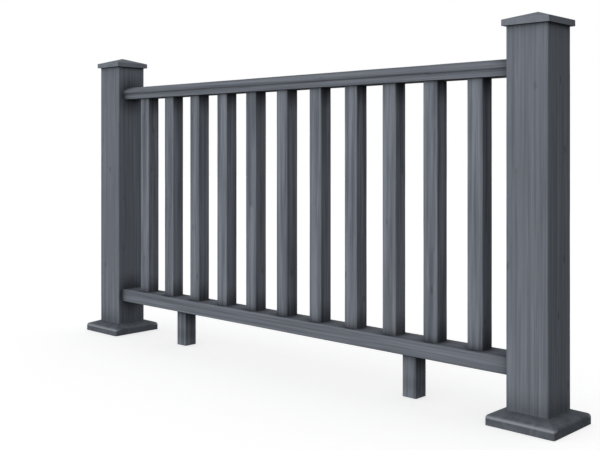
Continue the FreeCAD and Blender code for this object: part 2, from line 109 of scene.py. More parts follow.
def colour_property(name, description, hex_colour):
    """A colour that a user can change."""
    return FloatVectorProperty(name=name, description=description, default=linear(hex_colour), size=3,
                               min=0.0, max=1.0, subtype="COLOR")


def place_property(name, description, metres):
    """A place that a user can change."""
    return FloatVectorProperty(name=name, description=description, default=metres, size=3,
                               unit="LENGTH", subtype="TRANSLATION")


def power_property(name, description, watts):
    """The power of a lamp that a user can change."""
    return FloatProperty(name=name, description=description, default=watts, unit="POWER")


class RailingGrain(bpy.types.PropertyGroup):
    """Pressed wood grain of the extruded stock, and the painted shade in its corners."""

    column_step: length_property("Column step", "Mesh spacing around a profile", 2.2)
    row_step: length_property("Row step", "Mesh spacing along a profile", 12.0)
    relief: length_property("Relief", "Depth of the pressed grain", 0.3)
    relief_width: length_property("Relief width", "Distance between pressed lines", 6.0)
    relief_run: length_property("Relief run", "Length of a pressed line", 180.0)
    post_streak: length_property("Post streak", "Width of a colour streak on the posts", 9.0)
    post_strength: share_property("Post strength", "Strength of the posts' streaks", 0.5)
    baluster_streak: length_property("Baluster streak", "Width of a colour streak on the balusters", 17.0)
    baluster_strength: share_property("Baluster strength", "Strength of the balusters' streaks", 1.0)
    rail_streak: length_property("Rail streak", "Width of a colour streak on the rails", 6.0)
    rail_strength: share_property("Rail strength", "Strength of the rails' streaks", 0.65)
    streak_run: length_property("Streak run", "Length of a colour streak", 620.0)
    line_width: length_property("Line width", "Width of a fine grain line", 3.2)
    line_run: length_property("Line run", "Length of a fine grain line", 160.0)
    knot_gap: length_property("Knot gap", "Distance between knots across the grain", 52.0)
    knot_run: length_property("Knot run", "Distance between knots along the grain", 125.0)
    hole_fit: length_property("Hole fit", "Gap between a baluster and its hole in a rail", 0.25)
    # Painted shade: ambient occlusion darkens the colour in the corners, this far out and this deep
    painted_shade_reach: length_property("Grime reach", "How far the grime comes out of a corner", 70.0)
    painted_shade: share_property("Painted shade", "Darkness of the grime deep in a corner", 0.65)
    # The painted shade fades out below this height over the deck
    splash: length_property("Shade fade height", "Height over the deck that rain splash keeps clean", 60.0)
    post_seed: seed_property("Post seed", "Stretch of the grain on the posts", 4)
    rail_seed: seed_property("Rail seed", "Stretch of the grain on the rails", 5)
    baluster_seed: seed_property("Baluster seed", "Stretch of the grain on the balusters", 8)


class RailingColours(bpy.types.PropertyGroup):
    """Colours of the railing's finishes and of the floor."""

    composite: colour_property("Composite", "Middle grey of the composite", "6d727a")
    streak_dark: colour_property("Dark streak", "Darker streaks of the grain", "5d6169")
    streak_light: colour_property("Light streak", "Lighter streaks of the grain", "7d828b")
    knot: colour_property("Knot", "Core of a printed knot", "3e4247")
    cap_light: colour_property("Light cap", "Light flow marks of the caps", "777c84")
    skirt_dark: colour_property("Dark skirt", "Dark flow marks of the skirts", "53575e")
    skirt_light: colour_property("Light skirt", "Light flow marks of the skirts", "63676e")
    # Painted highlight along the shoulders of the skirts and round the tips of the caps
    painted_highlight: colour_property("Painted highlight", "Edges that are rubbed pale", "8a8e95")
    zinc_dark: colour_property("Dark zinc", "Dark spangles of the galvanised anchors", "8b8f92")
    zinc_light: colour_property("Light zinc", "Light spangles of the galvanised anchors", "a3a8ac")
    nylon_dark: colour_property("Dark nylon", "Resin of the rail brackets", "151617")
    nylon_light: colour_property("Light nylon", "Fibre near the skin of the rail brackets", "26282a")
    floor_bounce: colour_property("Floor bounce", "Floor as it lights the railing from below", "616161")
    floor_paint: colour_property("Floor paint", "Floor as the camera sees it, with the shadow", "e7e7e7")
    floor_glow: colour_property("Floor glow", "Light that the floor adds towards the camera", "cacaca")


class RailingStage(bpy.types.PropertyGroup):
    """Camera, floor and studio light."""

    camera_place: place_property("Camera", "Place of the camera", (2.9054, -2.0342, 0.6854))
    camera_turn: FloatProperty(name="Camera turn", description="Turn of the level camera about the vertical",
                               default=0.745320, unit="ROTATION", subtype="ANGLE")
    focal_pixels: FloatProperty(name="Focal length", description="Focal length in image pixels",
                                default=912.75)
    axis_x: FloatProperty(name="Axis across", description="Image column of the optical axis", default=321.4)
    axis_y: FloatProperty(name="Axis down", description="Image row of the optical axis", default=148.7)
    floor_reach: length_property("Floor reach", "Half the side of the floor", 14000.0)
    softbox_width: length_property("Softbox width", "Width of each softbox", 3600.0)
    softbox_height: length_property("Softbox height", "Height of each softbox", 1800.0)
    front_power: power_property("Front light", "Power of the front softbox", 198.0)
    front_place: place_property("Front place", "Front softbox, from the railing's middle", (0.4, -5.35, 1.2))
    back_power: power_property("Back light", "Power of the softbox behind", 150.0)
    back_place: place_property("Back place", "Back softbox, from the railing's middle", (-1.95, 6.18, 0.46))
    left_power: power_property("Left light", "Power of the softbox on the left", 100.0)
    left_place: place_property("Left place", "Left softbox, from the railing's middle", (-6.21, 1.81, 0.58))
    ambient: FloatProperty(name="Ambient", description="Brightness of the room all round", default=0.56)


# Small helpers


def add_node(tree, kind, settings=None, inputs=None):
    """Add a node, set its properties, and fill its inputs with values or links by name or number."""
    made = tree.nodes.new(kind)
    for name, value in (settings or {}).items():
        setattr(made, name, value)
    for key, value in (inputs or {}).items():
        socket = made.inputs[key]
        if isinstance(value, bpy.types.NodeSocket):
            tree.links.new(value, socket)
        else:
            socket.default_value = value
    return made


def opaque(colour):
    """A colour with full alpha, as sockets and ramps take it."""
    return (*colour, 1.0)


def new_material(name):
    """An empty material and its node tree."""
    material = bpy.data.materials.new(name)
    material.use_nodes = True
    material.node_tree.nodes.clear()
    return material, material.node_tree


def link_piece(name, mesh):
    """A new object in the scene, at the origin."""
    piece = bpy.data.objects.new(name, mesh)
    bpy.context.scene.collection.objects.link(piece)
    return piece


def plain_mesh(piece, name):
    """The evaluated piece as a plain mesh."""
    graph = bpy.context.evaluated_depsgraph_get()
    mesh = bpy.data.meshes.new_from_object(piece.evaluated_get(graph))
    mesh.name = name
    return mesh


def sees_white(tree):
    """One for a ray that sees the white background: from the camera, off metal or through glass."""
    path = add_node(tree, "ShaderNodeLightPath")
    share = path.outputs["Is Camera Ray"]
    for ray in ("Is Glossy Ray", "Is Transmission Ray"):
        share = add_node(tree, "ShaderNodeMath", {"operation": "MAXIMUM"}, {
            0: share, 1: path.outputs[ray],
        }).outputs[0]
    return share


# Materials


def height_mask(tree, low, high):
    """Nought at one height of the railing, and rising to one at another."""
    coordinates = add_node(tree, "ShaderNodeTexCoord").outputs["Object"]
    height = add_node(tree, "ShaderNodeSeparateXYZ", None, {"Vector": coordinates}).outputs["Z"]
    return add_node(tree, "ShaderNodeMapRange", {"interpolation_type": "SMOOTHSTEP"}, {
        "Value": height, "From Min": low, "From Max": high, "To Min": 0.0, "To Max": 1.0,
    }).outputs[0]


def with_painted_shade(tree, colour, splash):
    """The colour, darkened by painted shade, from ambient occlusion, in the corners where pieces meet.

    The painted shade fades out towards the deck, and leaves the lowest part of a piece unshaded.
    """
    grain = bpy.context.scene.railing_grain
    unshaded_below = 0.1 * splash
    falloff = 2.1
    openness = add_node(tree, "ShaderNodeAmbientOcclusion", {"samples": 8}, {
        "Distance": grain.painted_shade_reach,
    }).outputs["AO"]
    bare = add_node(tree, "ShaderNodeMath", {"operation": "POWER"}, {0: openness, 1: falloff}).outputs[0]
    unshaded = add_node(tree, "ShaderNodeMath", {"operation": "MAXIMUM"}, {
        0: bare, 1: 1 - grain.painted_shade,
    }).outputs[0]
    return add_node(tree, "ShaderNodeMix", {"data_type": "RGBA", "blend_type": "MULTIPLY"}, {
        0: height_mask(tree, unshaded_below, splash), 6: colour, 7: unshaded,
    }).outputs[2]


def grain_scale(along, width, run):
    """Cycles per metre of a pattern that is run long along one axis and width wide across it."""
    scale = [1 / width] * 3
    scale[along] = 1 / run
    return scale


def printed_knots(tree, coordinates, along):
    """Small dark cores here and there, and how far each pushes the grain aside around it.

    The edges are shares of the distance from one knot to the next.
    """
    grain = bpy.context.scene.railing_grain
    core_middle = 0.03
    core_edge = 0.14
    push_edge = 0.4
    push_strength = 0.9
    place = add_node(tree, "ShaderNodeMapping", None, {
        "Vector": coordinates, "Scale": grain_scale(along, grain.knot_gap, grain.knot_run),
    }).outputs[0]
    knot = add_node(tree, "ShaderNodeTexVoronoi", {"feature": "F1"}, {"Vector": place, "Scale": 1.0})
    core = add_node(tree, "ShaderNodeMapRange", {"interpolation_type": "SMOOTHSTEP"}, {
        "Value": knot.outputs["Distance"], "From Min": core_middle, "From Max": core_edge,
        "To Min": 1.0, "To Max": 0.0,
    }).outputs[0]
    nearness = add_node(tree, "ShaderNodeMapRange", {"interpolation_type": "SMOOTHSTEP"}, {
        "Value": knot.outputs["Distance"], "From Min": 0.0, "From Max": push_edge,
        "To Min": push_strength, "To Max": 0.0,
    }).outputs[0]
    from_knot = add_node(tree, "ShaderNodeVectorMath", {"operation": "SUBTRACT"}, {
        0: place, 1: knot.outputs["Position"],
    }).outputs[0]
    push = add_node(tree, "ShaderNodeVectorMath", {"operation": "SCALE"}, {
        0: from_knot, "Scale": nearness,
    }).outputs[0]
    return core, push


def pressed_composite(name, along, streak_width, strength, seed):
    """Wood-fibre composite, extruded and pressed with a grain roller: matt, streaked along the stock.

    Broad soft streaks, fine lines and a few printed knots run along one axis of the piece.
    """
    grain = bpy.context.scene.railing_grain
    colours = bpy.context.scene.railing_colours
    material, tree = new_material(name)
    seed_step = (0.137, 0.271, 0.389)
    line_share = 0.3
    drift_share = 0.1
    drift_width = 4 * streak_width
    drift_run = 0.6 * grain.streak_run
    tone_middle = 0.5
    tone_spread = 0.09 / strength
    knot_shade = 0.42
    coordinates = add_node(tree, "ShaderNodeMapping", None, {
        "Vector": add_node(tree, "ShaderNodeTexCoord").outputs["Object"],
        "Location": [seed * step for step in seed_step],
    }).outputs[0]
    core, push = printed_knots(tree, coordinates, along)

    # Streaks and lines, and a slow drift from one stretch of the stock to the next
    streak_place = add_node(tree, "ShaderNodeMapping", None, {
        "Vector": coordinates, "Scale": grain_scale(along, streak_width, grain.streak_run),
    }).outputs[0]
    streak_bent = add_node(tree, "ShaderNodeVectorMath", {"operation": "ADD"}, {
        0: streak_place, 1: push,
    }).outputs[0]
    streak = add_node(tree, "ShaderNodeTexNoise", None, {
        "Vector": streak_bent, "Scale": 1.0, "Detail": 3.0, "Roughness": 0.55,
    }).outputs["Fac"]
    line_place = add_node(tree, "ShaderNodeMapping", None, {
        "Vector": coordinates, "Scale": grain_scale(along, grain.line_width, grain.line_run),
    }).outputs[0]
    line = add_node(tree, "ShaderNodeTexNoise", None, {
        "Vector": line_place, "Scale": 1.0, "Detail": 2.0, "Roughness": 0.6,
    }).outputs["Fac"]
    drift_place = add_node(tree, "ShaderNodeMapping", None, {
        "Vector": coordinates, "Scale": grain_scale(along, drift_width, drift_run),
    }).outputs[0]
    drift = add_node(tree, "ShaderNodeTexNoise", None, {
        "Vector": drift_place, "Scale": 1.0, "Detail": 1.0,
    }).outputs["Fac"]
    streak_and_line = add_node(tree, "ShaderNodeMix", {"data_type": "FLOAT"}, {
        0: line_share, 2: streak, 3: line,
    }).outputs[0]
    tone = add_node(tree, "ShaderNodeMix", {"data_type": "FLOAT"}, {
        0: drift_share, 2: streak_and_line, 3: drift,
    }).outputs[0]
    ramp = add_node(tree, "ShaderNodeValToRGB", None, {"Fac": tone})
    ramp.color_ramp.elements[0].position = tone_middle - tone_spread
    ramp.color_ramp.elements[0].color = opaque(colours.streak_dark)
    ramp.color_ramp.elements[1].position = tone_middle + tone_spread
    ramp.color_ramp.elements[1].color = opaque(colours.streak_light)
    middle = ramp.color_ramp.elements.new(tone_middle)
    middle.color = opaque(colours.composite)
    shade = add_node(tree, "ShaderNodeMath", {"operation": "MULTIPLY"}, {0: core, 1: knot_shade}).outputs[0]
    colour = add_node(tree, "ShaderNodeMix", {"data_type": "RGBA"}, {
        0: shade, 6: ramp.outputs["Color"], 7: opaque(colours.knot),
    }).outputs[2]

    roughness = add_node(tree, "ShaderNodeMapRange", None, {
        "Value": line, "From Min": NOISE_LOW, "From Max": NOISE_HIGH, "To Min": 0.98, "To Max": 0.88,
    }).outputs[0]
    bump = add_node(tree, "ShaderNodeBump", None, {
        "Strength": 0.5, "Distance": 0.4 * MM, "Height": streak_and_line,
    }).outputs[0]
    # The base colour takes painted shade in the corners
    surface = add_node(tree, "ShaderNodeBsdfPrincipled", None, {
        "Base Color": with_painted_shade(tree, colour, grain.splash), "Roughness": roughness, "IOR": COMPOSITE_IOR,
        "Specular IOR Level": COMPOSITE_SPECULAR, "Normal": bump,
    })
    add_node(tree, "ShaderNodeOutputMaterial", None, {"Surface": surface.outputs[0]})
    return material


def baluster_composite():
    """The balusters' finish, made once, because the foot blocks are cut from the same stock."""
    grain = bpy.context.scene.railing_grain
    name = "pressed_composite_baluster"
    found = bpy.data.materials.get(name)
    return found or pressed_composite(name, UPRIGHT, grain.baluster_streak, grain.baluster_strength,
                                      grain.baluster_seed)


def moulded_composite(name, dark, light, splash, painted_highlighted, reach):
    """Composite, injection moulded: a finer, calmer face than the stock, with faint flow marks.

    A painted highlight, a paler line, runs from the lowest to the highest of the given heights, palest at
    the one between them, where the face is at least the reach away from the middle plane of the railing.
    """
    colours = bpy.context.scene.railing_colours
    material, tree = new_material(name)
    flow_size = 28 * MM
    pebble_size = 1.6 * MM
    dark_below = 0.3
    light_above = 0.62
    painted_highlight_fade = 12 * MM
    coordinates = add_node(tree, "ShaderNodeTexCoord").outputs["Object"]
    flow = add_node(tree, "ShaderNodeTexNoise", None, {
        "Vector": coordinates, "Scale": 1 / flow_size, "Detail": 3.0, "Roughness": 0.6, "Distortion": 0.8,
    }).outputs["Fac"]
    pebble = add_node(tree, "ShaderNodeTexNoise", None, {
        "Vector": coordinates, "Scale": 1 / pebble_size, "Detail": 2.0,
    }).outputs["Fac"]
    ramp = add_node(tree, "ShaderNodeValToRGB", None, {"Fac": flow})
    ramp.color_ramp.elements[0].position = dark_below
    ramp.color_ramp.elements[0].color = opaque(dark)
    ramp.color_ramp.elements[1].position = light_above
    ramp.color_ramp.elements[1].color = opaque(light)

    # The painted highlight, a pale line
    low, palest, high = painted_highlighted
    line = add_node(tree, "ShaderNodeMath", {"operation": "SUBTRACT"}, {
        0: height_mask(tree, low, palest), 1: height_mask(tree, palest, high),
    }).outputs[0]
    across = add_node(tree, "ShaderNodeSeparateXYZ", None, {"Vector": coordinates}).outputs["Y"]
    distance = add_node(tree, "ShaderNodeMath", {"operation": "ABSOLUTE"}, {0: across}).outputs[0]
    reached = add_node(tree, "ShaderNodeMapRange", {"interpolation_type": "SMOOTHSTEP"}, {
        "Value": distance, "From Min": reach - painted_highlight_fade, "From Max": reach, "To Min": 0.0, "To Max": 1.0,
    }).outputs[0]
    painted_highlight = add_node(tree, "ShaderNodeMath", {"operation": "MULTIPLY"}, {0: line, 1: reached}).outputs[0]
    # The flow marks, with painted shade in the corners and the painted highlight over them
    colour = add_node(tree, "ShaderNodeMix", {"data_type": "RGBA"}, {
        0: painted_highlight, 6: with_painted_shade(tree, ramp.outputs["Color"], splash), 7: opaque(colours.painted_highlight),
    }).outputs[2]

    roughness = add_node(tree, "ShaderNodeMapRange", None, {
        "Value": flow, "From Min": NOISE_LOW, "From Max": NOISE_HIGH, "To Min": 0.86, "To Max": 0.96,
    }).outputs[0]
    bump = add_node(tree, "ShaderNodeBump", None, {
        "Strength": 0.3, "Distance": 0.2 * MM, "Height": pebble,
    }).outputs[0]
    surface = add_node(tree, "ShaderNodeBsdfPrincipled", None, {
        "Base Color": colour, "Roughness": roughness, "IOR": COMPOSITE_IOR,
        "Specular IOR Level": COMPOSITE_SPECULAR, "Normal": bump,
    })
    add_node(tree, "ShaderNodeOutputMaterial", None, {"Surface": surface.outputs[0]})
    return material


def galvanised_steel():
    """Mild steel, hot-dip galvanised: pale zinc with flat crystal spangles of differing grey."""
    colours = bpy.context.scene.railing_colours
    material, tree = new_material("galvanised_steel")
    spangle_size = 9 * MM
    coordinates = add_node(tree, "ShaderNodeTexCoord").outputs["Object"]
    spangle = add_node(tree, "ShaderNodeTexVoronoi", {"feature": "F1"}, {
        "Vector": coordinates, "Scale": 1 / spangle_size,
    })
    grey = add_node(tree, "ShaderNodeSeparateColor", None, {"Color": spangle.outputs["Color"]}).outputs[0]
    ramp = add_node(tree, "ShaderNodeValToRGB", None, {"Fac": grey})
    ramp.color_ramp.elements[0].color = opaque(colours.zinc_dark)
    ramp.color_ramp.elements[1].color = opaque(colours.zinc_light)
    roughness = add_node(tree, "ShaderNodeMapRange", None, {
        "Value": grey, "To Min": 0.36, "To Max": 0.55,
    }).outputs[0]
    surface = add_node(tree, "ShaderNodeBsdfPrincipled", None, {
        "Base Color": ramp.outputs["Color"], "Metallic": 1.0, "Roughness": roughness,
    })
    add_node(tree, "ShaderNodeOutputMaterial", None, {"Surface": surface.outputs[0]})
    return material


def moulded_nylon():
    """Glass-filled nylon, injection moulded: black, with a fine sparkle of fibre near the skin."""
    colours = bpy.context.scene.railing_colours
    material, tree = new_material("moulded_nylon")

    # Drawn coarser than real glass fibre, so that it shows
    fibre_size = 2 * MM
    coordinates = add_node(tree, "ShaderNodeTexCoord").outputs["Object"]
    fibre = add_node(tree, "ShaderNodeTexNoise", None, {
        "Vector": coordinates, "Scale": 1 / fibre_size, "Detail": 3.0,
    }).outputs["Fac"]
    ramp = add_node(tree, "ShaderNodeValToRGB", None, {"Fac": fibre})
    ramp.color_ramp.elements[0].color = opaque(colours.nylon_dark)
    ramp.color_ramp.elements[1].color = opaque(colours.nylon_light)
    bump = add_node(tree, "ShaderNodeBump", None, {
        "Strength": 0.2, "Distance": 0.1 * MM, "Height": fibre,
    }).outputs[0]
    surface = add_node(tree, "ShaderNodeBsdfPrincipled", None, {
        "Base Color": ramp.outputs["Color"], "Roughness": 0.5, "IOR": 1.53, "Normal": bump,
    })
    add_node(tree, "ShaderNodeOutputMaterial", None, {"Surface": surface.outputs[0]})
    return material


def floor_paint():
    """Matt floor paint: white to the camera, but for the shadow that the railing leaves on it.

    To the light that comes back up from it, the floor is dark, which keeps the undersides dark.
    """
    colours = bpy.context.scene.railing_colours
    material, tree = new_material("matt_floor_paint")
    bounce = add_node(tree, "ShaderNodeBsdfDiffuse", None, {
        "Color": opaque(colours.floor_bounce),
    }).outputs[0]
    paint = add_node(tree, "ShaderNodeBsdfDiffuse", None, {
        "Color": opaque(colours.floor_paint),
    }).outputs[0]
    glow = add_node(tree, "ShaderNodeEmission", None, {"Color": opaque(colours.floor_glow)}).outputs[0]
    white = add_node(tree, "ShaderNodeAddShader", None, {0: paint, 1: glow}).outputs[0]
    shown = add_node(tree, "ShaderNodeMixShader", None, {
        0: sees_white(tree), 1: bounce, 2: white,
    }).outputs[0]
    add_node(tree, "ShaderNodeOutputMaterial", None, {"Surface": shown})
    return material


# Embossed stock


def area(outline):
    """Area within an outline, above nought where the outline runs anticlockwise."""
    return sum(before.cross(after) for before, after in zip(outline, outline[1:] + outline[:1])) / 2


def end_outlines(node, along):
    """Outlines of a node's low end: its outside, and then its bores.

    As seen by looking back along the length, the outside runs anticlockwise and a bore clockwise.
    """
    same_point = 0.001 * MM
    same_plane = 0.01 * MM
    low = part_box(node)[0][along]
    across = [(along + turn) % 3 for turn in (1, 2)]
    shape = bmesh.new()
    shape.from_mesh(NODES[node].data)
    bmesh.ops.remove_doubles(shape, verts=shape.verts, dist=same_point)
    on_end = {face for face in shape.faces
              if all(abs(corner.co[along] - low) < same_plane for corner in face.verts)}
    rim = [edge for edge in shape.edges if sum(face in on_end for face in edge.link_faces) == 1]
    neighbours = {}
    for edge in rim:
        first, second = edge.verts
        neighbours.setdefault(first, []).append(second)
        neighbours.setdefault(second, []).append(first)
    outlines = []
    while neighbours:
        outline = []
        before = None
        here = next(iter(neighbours))
        while here in neighbours:
            outline.append(Vector((here.co[across[0]], here.co[across[1]])))
            onward = [corner for corner in neighbours.pop(here) if corner is not before]
            before = here
            here = onward[0]
        outlines.append(outline)
    shape.free()
    outlines.sort(key=lambda outline: abs(area(outline)), reverse=True)
    anticlockwise = [outline if area(outline) > 0 else outline[::-1] for outline in outlines]
    return [anticlockwise[0]] + [outline[::-1] for outline in anticlockwise[1:]]


def with_columns(outline, step):
    """The outline with its long straights divided, and its corners kept."""
    divided = []
    for before, after in zip(outline, outline[1:] + outline[:1]):
        parts = max(1, round((after - before).length / step))
        divided += [before.lerp(after, part / parts) for part in range(parts)]
    return divided


def outline_mesh(name, outlines):
    """The outlines as a mesh of edges, with the outside marked as the skin that takes the grain."""
    mesh = bpy.data.meshes.new(name)
    points = []
    edges = []
    for outline in outlines:
        start = len(points)
        count = len(outline)
        points += [point.to_3d() for point in outline]
        edges += [(start + i, start + (i + 1) % count) for i in range(count)]
    mesh.from_pydata(points, edges, [])
    skin = mesh.attributes.new("skin", "FLOAT", "POINT")
    for i in range(len(outlines[0])):
        skin.data[i].value = 1.0
    return mesh


def swept_stock(tree, given):
    """Walls swept from the outlines along Z, with closed ends."""
    seam = 0.002 * MM
    section = add_node(tree, "GeometryNodeMeshToCurve", None, {"Mesh": given["Outlines"]}).outputs[0]
    top = add_node(tree, "ShaderNodeCombineXYZ", None, {"Z": given["Length"]}).outputs[0]
    path = add_node(tree, "GeometryNodeCurvePrimitiveLine", None, {"End": top}).outputs[0]
    path = add_node(tree, "GeometryNodeResampleCurve", {"mode": "LENGTH"}, {
        "Curve": path, "Length": given["Row Step"],
    }).outputs[0]
    walls = add_node(tree, "GeometryNodeCurveToMesh", None, {
        "Curve": path, "Profile Curve": section,
    }).outputs[0]
    high_end = add_node(tree, "GeometryNodeFillCurve", None, {"Curve": section}).outputs[0]
    low_end = add_node(tree, "GeometryNodeFlipFaces", None, {"Mesh": high_end}).outputs[0]
    high_end = add_node(tree, "GeometryNodeTransform", None, {
        "Geometry": high_end, "Translation": top,
    }).outputs[0]
    closed = add_node(tree, "GeometryNodeJoinGeometry")
    for surface in (walls, low_end, high_end):
        tree.links.new(surface, closed.inputs[0])
    return add_node(tree, "GeometryNodeMergeByDistance", None, {
        "Geometry": closed.outputs[0], "Distance": seam,
    }).outputs[0]


def pressed_lines(tree, given):
    """How each point moves: shallow grooves, longer than wide, go in from the skin and never out of it."""
    groove_starts = 0.42
    groove_deepest = 0.66
    across = add_node(tree, "ShaderNodeMath", {"operation": "DIVIDE"}, {
        0: 1.0, 1: given["Relief Width"],
    }).outputs[0]
    lengthwise = add_node(tree, "ShaderNodeMath", {"operation": "DIVIDE"}, {
        0: 1.0, 1: given["Relief Run"],
    }).outputs[0]
    scale = add_node(tree, "ShaderNodeCombineXYZ", None, {
        "X": across, "Y": across, "Z": lengthwise,
    }).outputs[0]
    place = add_node(tree, "GeometryNodeInputPosition").outputs[0]
    stretched = add_node(tree, "ShaderNodeVectorMath", {"operation": "MULTIPLY"}, {
        0: place, 1: scale,
    }).outputs[0]
    grain = add_node(tree, "ShaderNodeTexNoise", {"noise_dimensions": "4D"}, {
        "Vector": stretched, "W": given["Seed"], "Scale": 1.0, "Detail": 2.0, "Roughness": 0.5,
    }).outputs["Fac"]
    depth = add_node(tree, "ShaderNodeMapRange", {"interpolation_type": "SMOOTHSTEP"}, {
        "Value": grain, "From Min": groove_starts, "From Max": groove_deepest, "To Min": 0.0, "To Max": 1.0,
    }).outputs[0]
    skin = add_node(tree, "GeometryNodeInputNamedAttribute", {"data_type": "FLOAT"}, {
        "Name": "skin",
    }).outputs["Attribute"]
    for factor in (given["Relief"], skin, -1.0):
        depth = add_node(tree, "ShaderNodeMath", {"operation": "MULTIPLY"}, {0: depth, 1: factor}).outputs[0]
    outward = add_node(tree, "GeometryNodeInputNormal").outputs[0]
    return add_node(tree, "ShaderNodeVectorMath", {"operation": "SCALE"}, {
        0: outward, "Scale": depth,
    }).outputs[0]


def stock_tree():
    """Node tree that sweeps outlines along Z, closes the ends and presses grain into the outside."""
    sharp_corner = math.radians(50)
    tree = bpy.data.node_groups.new("embossed_stock", "GeometryNodeTree")
    face = tree.interface
    face.new_socket("Outlines", in_out="INPUT", socket_type="NodeSocketGeometry")
    for name in ("Length", "Row Step", "Relief", "Relief Width", "Relief Run"):
        face.new_socket(name, in_out="INPUT", socket_type="NodeSocketFloat")
    face.new_socket("Seed", in_out="INPUT", socket_type="NodeSocketInt")
    face.new_socket("Finish", in_out="INPUT", socket_type="NodeSocketMaterial")
    face.new_socket("Stock", in_out="OUTPUT", socket_type="NodeSocketGeometry")
    given = add_node(tree, "NodeGroupInput").outputs
    stock = add_node(tree, "GeometryNodeSetPosition", None, {
        "Geometry": swept_stock(tree, given), "Offset": pressed_lines(tree, given),
    }).outputs[0]
    bend = add_node(tree, "GeometryNodeInputMeshEdgeAngle").outputs[0]
    soft = add_node(tree, "FunctionNodeCompare", {"operation": "LESS_THAN"}, {
        0: bend, 1: sharp_corner,
    }).outputs[0]
    stock = add_node(tree, "GeometryNodeSetShadeSmooth", {"domain": "EDGE"}, {
        "Geometry": stock, "Shade Smooth": soft,
    }).outputs[0]
    stock = add_node(tree, "GeometryNodeRealizeInstances", None, {"Geometry": stock}).outputs[0]
    stock = add_node(tree, "GeometryNodeSetMaterial", None, {
        "Geometry": stock, "Material": given["Finish"],
    }).outputs[0]
    add_node(tree, "NodeGroupOutput", None, {"Stock": stock})
    return tree


def embossed_stock(node, along, finish, seed):
    """A length of hollow stock with pressed grain, in the place of the CAD node that it is read from."""
    grain = bpy.context.scene.railing_grain
    name = f"{node}_stock"
    low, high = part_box(node)
    outside, *bores = end_outlines(node, along)
    outlines = [with_columns(outside, grain.column_step)] + bores
    pattern = link_piece(f"{name}_pattern", outline_mesh(f"{name}_outlines", outlines))
    tree = bpy.data.node_groups.get("embossed_stock") or stock_tree()
    modifier = pattern.modifiers.new("embossed_stock", "NODES")
    modifier.node_group = tree
    values = {
        "Length": high[along] - low[along],
        "Row Step": grain.row_step,
        "Relief": grain.relief,
        "Relief Width": grain.relief_width,
        "Relief Run": grain.relief_run,
        "Seed": seed,
        "Finish": finish,
    }
    for socket in tree.interface.items_tree:
        if socket.name in values:
            modifier[socket.identifier] = values[socket.name]
    mesh = plain_mesh(pattern, name)
    bpy.data.objects.remove(pattern)
    upright_to_lengthwise = Matrix(((0, 0, 1), (1, 0, 0), (0, 1, 0))).to_4x4()
    turn = upright_to_lengthwise if along == LENGTHWISE else Matrix()
    start = Vector()
    start[along] = low[along]
    mesh.transform(Matrix.Translation(start) @ turn)
    mesh.attributes.remove(mesh.attributes["skin"])
    return link_piece(name, mesh)


def with_holes(piece, fit):
    """The piece's mesh with a hole for each baluster, a fit wider than the baluster all round."""
    shape = bmesh.new()
    for node in BALUSTERS:
        low, high = (Vector(corner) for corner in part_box(node))
        side = high - low + 2 * Vector((fit, fit, 0))
        bmesh.ops.create_cube(shape, matrix=Matrix.LocRotScale((low + high) / 2, None, side))
    mesh = bpy.data.meshes.new("baluster_holes")
    shape.to_mesh(mesh)
    shape.free()
    cutter = link_piece("baluster_holes", mesh)
    modifier = piece.modifiers.new("baluster_holes", "BOOLEAN")
    modifier.operation = "DIFFERENCE"
    modifier.solver = "EXACT"
    modifier.object = cutter
    cut = plain_mesh(piece, piece.name)
    piece.modifiers.clear()
    bpy.data.objects.remove(cutter)
    return cut


def stand_for(piece, node):
    """Let a finished piece show in place of a CAD node: the piece rides the root body, and the node is
    hidden.
    """
    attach(piece, "root")
    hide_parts(node)


def dress_node(node, material):
    """Give a CAD node that keeps its shape a better material."""
    piece = NODES[node]
    piece.data.materials.clear()
    piece.data.materials.append(material)


# Operators


class RAILING_OT_post_sleeves(bpy.types.Operator):
    """Extrude the two square post sleeves with pressed grain"""

    bl_idname = "railing.post_sleeves"
    bl_label = "Post sleeves"

    def execute(self, context):
        grain = context.scene.railing_grain
        finish = pressed_composite("pressed_composite_post", UPRIGHT, grain.post_streak, grain.post_strength,
                                   grain.post_seed)
        for side in SIDES:
            node = f"{side}_post_sleeve"
            piece = embossed_stock(node, UPRIGHT, finish, grain.post_seed)
            stand_for(piece, node)
        return {"FINISHED"}


class RAILING_OT_post_trim(bpy.types.Operator):
    """Finish the moulded caps and skirts of the posts"""

    bl_idname = "railing.post_trim"
    bl_label = "Post caps and skirts"

    def execute(self, context):
        grain = context.scene.railing_grain
        colours = context.scene.railing_colours
        cap_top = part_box("left_post_cap")[1][UPRIGHT]
        # A painted highlight round the tip of each cap
        cap_painted_highlight = 4 * MM
        cap = moulded_composite("moulded_composite_cap", colours.composite, colours.cap_light, grain.splash,
                                (cap_top - cap_painted_highlight, cap_top, cap_top + cap_painted_highlight), 0.0)
        half_width, skirt_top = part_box("left_post_skirt")[1][1:]
        # A painted highlight along the front and back shoulders of each skirt, and painted shade that fades
        # out towards the deck over more than the skirt's height
        rim_top = 0.42 * skirt_top
        shoulder = 0.54 * skirt_top
        slope = 0.72 * skirt_top
        skirt_shade_fade_height = 1.6 * skirt_top
        skirt_reach = 0.9 * half_width
        skirt = moulded_composite("moulded_composite_skirt", colours.skirt_dark, colours.skirt_light,
                                  skirt_shade_fade_height, (rim_top, shoulder, slope), skirt_reach)
        for side in SIDES:
            dress_node(f"{side}_post_cap", cap)
            dress_node(f"{side}_post_skirt", skirt)
        return {"FINISHED"}


